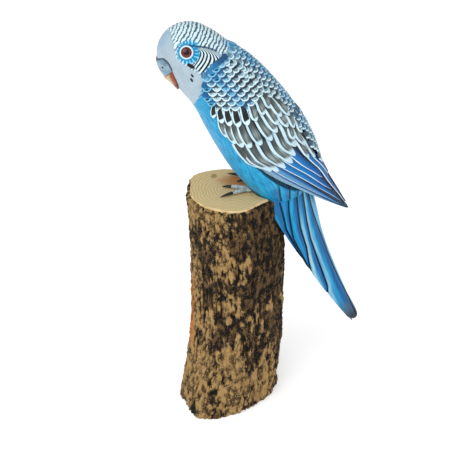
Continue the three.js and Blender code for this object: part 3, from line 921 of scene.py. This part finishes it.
def beak_finish(name, front, rear):
    f = Finish(name, roughness=0.35, coat=0.3)
    edge = f.field("edge")
    spot = f.noise(300, 3)
    grain = f.noise(120, 3, stretch=(1, 1, 4))
    station = f.field("station")
    paint = f.mix((edge + (station - 6.0) * 0.16 + (grain - 0.5) * 0.12).rise(0.74, 0.90), front, rear)
    paint = f.mix(station.rise(7.5, 8.3), paint, colour(84, 26, 12))
    paint = f.mix(edge.rise(0.90, 0.98) * station.rise(6.2, 7.2), paint, colour(40, 8, 6))
    f.coloured(f.mix(spot.rise(0.6, 0.75) * 0.25, paint, colour(150, 110, 70)))
    f.rough(grain * 0.2 + 0.28)
    f.bumped(grain, 0.15)
    return f.material


def cere_finish():
    f = Finish("cere_paint", roughness=0.4, coat=0.2)
    shade = f.noise(350, 3)
    paint = f.shades(shade, 0.3, 0.7, (92, 124, 144), (134, 162, 178))
    edge, nostril = f.field("edge"), f.field("nostril")
    paint = f.mix(edge.rise(0.88, 0.96), paint, colour(34, 42, 46))
    paint = f.mix((1 - nostril.rise(1.3, 1.7)) * 0.6, paint, colour(178, 198, 206))
    paint = f.mix(1 - nostril.rise(0.75, 1.0), paint, BLACK)
    f.coloured(paint)
    f.bumped(shade, 0.15)
    return f.material


def plain_paint(name, light, dark, scale=500, roughness=0.4, coat=0.2, bump=0.1):
    f = Finish(name, roughness=roughness, coat=coat)
    shade = f.noise(scale, 4)
    f.coloured(f.mix(shade.rise(0.35, 0.65), dark, light))
    f.rough(shade * 0.2 + (roughness - 0.1))
    f.bumped(shade, bump)
    return f.material


def eye_matrix(sign):
    axes = Matrix(((EYE_AHEAD[0], EYE_UP[0], EYE_NORMAL[0]), (EYE_AHEAD[1], EYE_UP[1], EYE_NORMAL[1]),
                   (EYE_AHEAD[2], EYE_UP[2], EYE_NORMAL[2]))).to_4x4()
    place = Matrix.Translation(Vector(EYE_CENTRE) * MM) @ axes
    return Matrix.Scale(sign, 4, (0, 1, 0)) @ place if sign < 0 else place


def seat_on_head(piece, sign):
    piece.data.transform(eye_matrix(sign))
    if piece.data.polygons[0].normal.length and eye_matrix(sign).determinant() < 0:
        piece.data.flip_normals()
    bpy.ops.object.shade_smooth()


def make_eye(sign, tag):
    deselect()
    bpy.ops.mesh.primitive_uv_sphere_add(segments=48, ring_count=32, radius=2.62 * MM)
    ball = bpy.context.object
    ball.data.transform(Matrix.Scale(0.5, 4, (0, 0, 1)))
    p = corners(ball) / MM
    add_field(ball, "from_middle", np.hypot(p[:, 0], p[:, 1]))
    seat_on_head(ball, sign)
    ball.name = "eye_bead_" + tag
    deselect()
    bpy.ops.mesh.primitive_torus_add(major_segments=64, minor_segments=14, major_radius=2.93 * MM,
                                     minor_radius=0.43 * MM)
    ring = bpy.context.object
    seat_on_head(ring, sign)
    ring.name = "eye_rim_" + tag
    return ball, ring


def eye_finish():
    f = Finish("eye_gloss", roughness=0.12, coat=0.4)
    middle = f.field("from_middle")
    streaks = f.noise(900, 2)
    iris = f.shades(streaks, 0.35, 0.65, (118, 10, 28), (70, 2, 12))
    paint = f.mix(middle.rise(1.25, 1.4), colour(4, 5, 6), iris)
    f.coloured(f.mix(middle.rise(2.2, 2.4), paint, colour(8, 8, 10)))
    return f.material


# Log
def log_radius(angle, height):
    low = np.clip(1 - height / 55, 0, 1)
    wave = 1.1 * np.sin(3 * angle + 0.6) + 0.6 * np.sin(5 * angle + 2.1) + 0.4 * np.sin(8 * angle)
    flare = 9.5 * low**1.6 * np.exp(-(((angle - math.radians(-117)) / 0.42) ** 2))
    flare = flare + 4.5 * low**1.5 * np.exp(-(((angle - math.radians(-160)) / 0.5) ** 2))
    belly = -2.4 * np.sin(math.pi * np.clip(height / LOG_HEIGHT, 0, 1)) * np.cos(angle - math.pi) * 0.4
    return 24.6 + wave + flare + belly


def log_point(angle, height, out):
    radius = log_radius(angle, height) + out
    shift = 2.2 * np.sin(math.pi * np.clip(height / LOG_HEIGHT, 0, 1) * 0.9)
    return np.stack([radius * np.cos(angle) + shift, radius * np.sin(angle), height], -1)


def rough_bark(angle, height):
    """Relief of the bark: upright ridges, plates and pits."""
    out = np.empty(len(angle))
    for k, (a, h) in enumerate(zip(angle, height)):
        x, y = math.cos(a) * 3.1, math.sin(a) * 3.1
        ridge = noise.noise(Vector((x * 2.4, y * 2.4, h * 0.035)))
        plate = noise.noise(Vector((x * 4.5, y * 4.5, h * 0.16 + 9)))
        grit = noise.noise(Vector((x * 12, y * 12, h * 0.55 + 31)))
        crack = abs(noise.noise(Vector((x * 3.4 + 5, y * 3.4, h * 0.07))))
        out[k] = 0.8 * ridge + 0.75 * plate + 0.55 * grit - 1.1 * max(0.0, 0.13 - crack) / 0.13
    return out


def make_bark():
    made = {}

    def place(across, along):
        angle = math.pi * (2 * across - 1)
        height = 0.4 + (LOG_HEIGHT - 1.3) * along
        relief = rough_bark(angle, height)
        made["relief"] = relief
        lip = np.clip((along - 0.985) / 0.015, 0, 1)
        height = np.minimum(height, LOG_HEIGHT - 0.9) + 0.3 * lip
        return log_point(angle, height, (relief - 0.35) * (1 - lip) - 3.2 * lip)

    bark = grid_piece("log_bark_skin", 300, 230, place, (2, 0, 60))
    add_field(bark, "relief", made["relief"])
    return bark


def bark_finish():
    f = Finish("bark", roughness=0.9)
    relief = f.field("relief")
    x, y, z = f.axes()
    patches = f.noise(85, 5, stretch=(1, 1, 0.55))
    flecks = f.noise(380, 5, stretch=(1, 1, 0.6))
    grit = f.noise(1400, 3)
    tan = f.shades(flecks, 0.40, 0.60, (72, 52, 30), (160, 128, 80))
    tan = f.mix(grit.rise(0.55, 0.68) * 0.6, tan, colour(200, 174, 124))
    dark = f.shades(flecks, 0.44, 0.60, (16, 13, 10), (92, 70, 42))
    dark = f.mix(grit.rise(0.60, 0.70) * 0.7, dark, colour(150, 118, 70))
    # Painted shade: the right side of the log darker, and its upper right front face darker still
    side = x.rise(-0.004, 0.022)
    low = 1 - z.rise(0.01, 0.05)
    shaded = x.rise(0.008, 0.015) * z.rise(0.07, 0.10) * (1 - y.rise(-0.004, 0.004))
    # Lightness takes in painted shade on the right side and face, raised bark a little lighter and hollows
    # darker as painted shade, and bark a little lighter near the foot
    lightness = patches * 1.3 + flecks * 0.5 + relief * 0.10 - side * 0.15 - shaded * 0.35 + low * 0.12
    paint = f.mix(lightness.rise(0.80, 0.93), dark, tan)
    # Painted shade: the deepest cracks in the bark near black
    paint = f.mix((1 - relief.rise(-1.3, -0.5)) * 0.9, paint, colour(12, 10, 8))
    streak = (1 - ((x + 0.021) * 1000).size().rise(0.5, 2.4)) * (1 - y.rise(-0.006, 0.0))
    streak = streak * z.rise(0.03, 0.045) * (1 - z.rise(0.07, 0.08))
    paint = f.mix(streak * 0.8, paint, colour(190, 104, 34))
    f.coloured(paint)
    f.rough(grit * 0.15 + 0.8)
    f.bumped(flecks * 0.8 + grit * 0.35 + patches * 0.8, 1.1)
    return f.material


def wood_finish():
    f = Finish("sawn_log_top", roughness=0.7)
    x, y, _ = f.axes()
    warp = (f.noise(60, 2) - 0.5) * 0.006
    radius = ((x - 0.001) * (x - 0.001) + (y + 0.001) * (y + 0.001) * 1.1).root() + warp
    rings = (radius * 3900).sine()
    fibre = f.noise(700, 3)
    paint = f.mix(rings.rise(-0.6, 0.9) * 0.5, colour(214, 190, 140), colour(184, 150, 98))
    paint = f.mix(fibre.rise(0.5, 0.75) * 0.35, paint, colour(228, 208, 162))
    # An orange-brown patch on the far part of the cut face
    far_orange_patch = ((x - 0.004) * (x - 0.004) * 0.55 + (y - 0.008) * (y - 0.008)).root()
    far_orange_patch = far_orange_patch + (f.noise(160, 3) - 0.5) * 0.008
    paint = f.mix((1 - far_orange_patch.rise(0.002, 0.010)) * 0.8, paint, colour(168, 98, 40))
    knot = ((x + 0.0085) * (x + 0.0085) * 2.4 + (y - 0.0135) * (y - 0.0135)).root()
    knot = knot + (f.noise(300, 2) - 0.5) * 0.002
    paint = f.mix((1 - knot.rise(0.0016, 0.0032)) * 0.65, paint, colour(128, 100, 62))
    f.coloured(paint)
    f.rough(fibre * 0.15 + 0.6)
    f.bumped(rings * 0.3 + fibre, 0.18)
    return f.material


# Feet from the CAD solids, rounded
def smooth_copy(node, name, voxel):
    source = NODES[node]
    piece = source.copy()
    piece.data = source.data.copy()
    piece.parent = None
    for key in list(piece.keys()):
        del piece[key]
    piece.name = name
    bpy.context.collection.objects.link(piece)
    deselect()
    piece.select_set(True)
    bpy.context.view_layer.objects.active = piece
    bpy.ops.object.mode_set(mode="EDIT")
    bpy.ops.mesh.select_all(action="SELECT")
    bpy.ops.mesh.remove_doubles(threshold=1e-6)
    bpy.ops.object.mode_set(mode="OBJECT")
    remesh = piece.modifiers.new("remesh", "REMESH")
    remesh.mode = "VOXEL"
    remesh.voxel_size = voxel * MM
    bpy.ops.object.modifier_apply(modifier=remesh.name)
    smooth = piece.modifiers.new("smooth", "SMOOTH")
    smooth.factor, smooth.iterations = 0.6, 6
    bpy.ops.object.modifier_apply(modifier=smooth.name)
    bpy.ops.object.shade_smooth()
    return piece


def foot_finish():
    f = Finish("speckled_foot", roughness=0.6)
    shade = f.noise(500, 3)
    specks = f.noise(1500, 2)
    rings = (f.axes()[0] * 4200).sine()
    paint = f.shades(shade, 0.3, 0.7, (150, 160, 160), (188, 196, 196))
    paint = f.mix(specks.rise(0.60, 0.68) * 0.8, paint, colour(60, 66, 66))
    f.coloured(paint)
    f.bumped(rings * 0.3 + shade, 0.25)
    return f.material


# Camera, light and floor, with the camera's distance in millimetres
CAMERA_AWAY = 800
CAMERA_RISE = math.radians(30)
PICTURE_WIDTH = 450 * 0.52
SENSOR_WIDTH = 36


def make_camera():
    data = bpy.data.cameras.new("camera")
    camera = bpy.data.objects.new("camera", data)
    bpy.context.collection.objects.link(camera)
    target = Vector((-2.6, 0.0, 102.4)) * MM
    camera.location = target + Vector((0, -math.cos(CAMERA_RISE), math.sin(CAMERA_RISE))) * CAMERA_AWAY * MM
    camera.rotation_euler = (math.pi / 2 - CAMERA_RISE, 0, 0)
    data.sensor_width = SENSOR_WIDTH
    data.lens = SENSOR_WIDTH * CAMERA_AWAY / PICTURE_WIDTH
    data.clip_start = 0.05
    bpy.context.scene.camera = camera


def area_light(name, place, aim, size, power):
    data = bpy.data.lights.new(name, "AREA")
    data.shape = "SQUARE"
    data.size = size
    data.energy = power
    light = bpy.data.objects.new(name, data)
    bpy.context.collection.objects.link(light)
    light.location = place
    light.rotation_euler = (Vector(aim) - Vector(place)).to_track_quat("-Z", "Y").to_euler()


def make_stage():
    deselect()
    bpy.ops.mesh.primitive_plane_add(size=6)
    floor = bpy.context.object
    floor.name = "floor"
    f = Finish("pale_floor", roughness=0.9)
    f.coloured(f.mix(f.noise(3, 2) * 0.2, colour(252, 252, 252), colour(248, 249, 250)))
    f.shader.inputs["Emission Color"].default_value = (1.0, 1.0, 1.0, 1.0)
    f.shader.inputs["Emission Strength"].default_value = 0.30
    floor.data.materials.append(f.material)
    bpy.context.scene.view_settings.view_transform = "Standard"
    world = bpy.data.worlds.new("studio")
    bpy.context.scene.world = world
    world.use_nodes = True
    background = world.node_tree.nodes["Background"]
    background.inputs[0].default_value = (1.0, 1.0, 1.0, 1.0)
    background.inputs[1].default_value = 0.62
    area_light("key", (-0.5, -0.7, 0.9), (0, 0, 0.12), 1.1, 8.5)
    area_light("fill", (0.7, -0.5, 0.6), (0, 0, 0.1), 0.8, 1.6)


def build():
    make_camera()
    make_stage()
    skin = make_skin()
    finish_piece(skin, skin_finish(), ("head", "neck", "torso"))
    feathers = feather_finish()
    ground = under_wing_finish()
    base = make_wing_base("wing_ground_left")
    vanes = wing_vanes("wing_vanes_left")
    shoulder = shoulder_tiles("shoulder_scallops_left")
    for piece, finish in ((base, ground), (vanes, feathers), (shoulder, feathers)):
        twin = mirror_copy(piece, piece.name.replace("left", "right"))
        finish_piece(piece, finish, ("wing_left",))
        finish_piece(twin, finish, ("wing_right",))
    finish_piece(mantle_tiles("mantle_scallops"), feathers)
    finish_piece(make_tail(), tail_finish(), ("tail",))
    cere = face_patch("cere_skin", CERE_HALVES, 0.95, 0.2, 1.0, 0.2)
    p = corners(cere) / MM
    p[:, 1] = -np.abs(p[:, 1])
    add_field(cere, "nostril", np.linalg.norm(p - on_body(4.86, 136.5, 1.0), axis=1))
    finish_piece(cere, cere_finish(), ("cere",))
    upper = face_patch("upper_bill", UPPER_HALVES, 1.0, 1.0)
    lower = face_patch("lower_bill", LOWER_HALVES, 1.0, 0.8)
    for piece, node in ((upper, "beak_upper"), (lower, "beak_lower")):
        horn = beak_finish(node + "_paint", colour(190, 160, 118), colour(140, 56, 20))
        finish_piece(piece, horn, (node,))
    for sign, tag in ((1, "left"), (-1, "right")):
        ball, ring = make_eye(sign, tag)
        finish_piece(ball, eye_finish(), ("eye_" + tag,))
        rim_paint = plain_paint("eye_rim_" + tag, WHITE, colour(214, 222, 224))
        finish_piece(ring, rim_paint, ("eye_ring_" + tag,))
    bark = make_bark()
    finish_piece(bark, bark_finish(), ("log_bark",))
    wood = NODES["log_wood"]
    wood.data.materials.clear()
    wood.data.materials.append(wood_finish())
    for tag in ("left", "right"):
        foot = smooth_copy("foot_" + tag, "foot_skin_" + tag, 0.3)
        finish_piece(foot, foot_finish(), ("foot_" + tag,))
        for toe in ("outer", "inner"):
            node = f"claw_{tag}_{toe}"
            claw = smooth_copy(node, f"claw_skin_{tag}_{toe}", 0.2)
            black = plain_paint(node + "_paint", colour(30, 34, 36), colour(10, 12, 13), roughness=0.3)
            finish_piece(claw, black, (node,))


build()
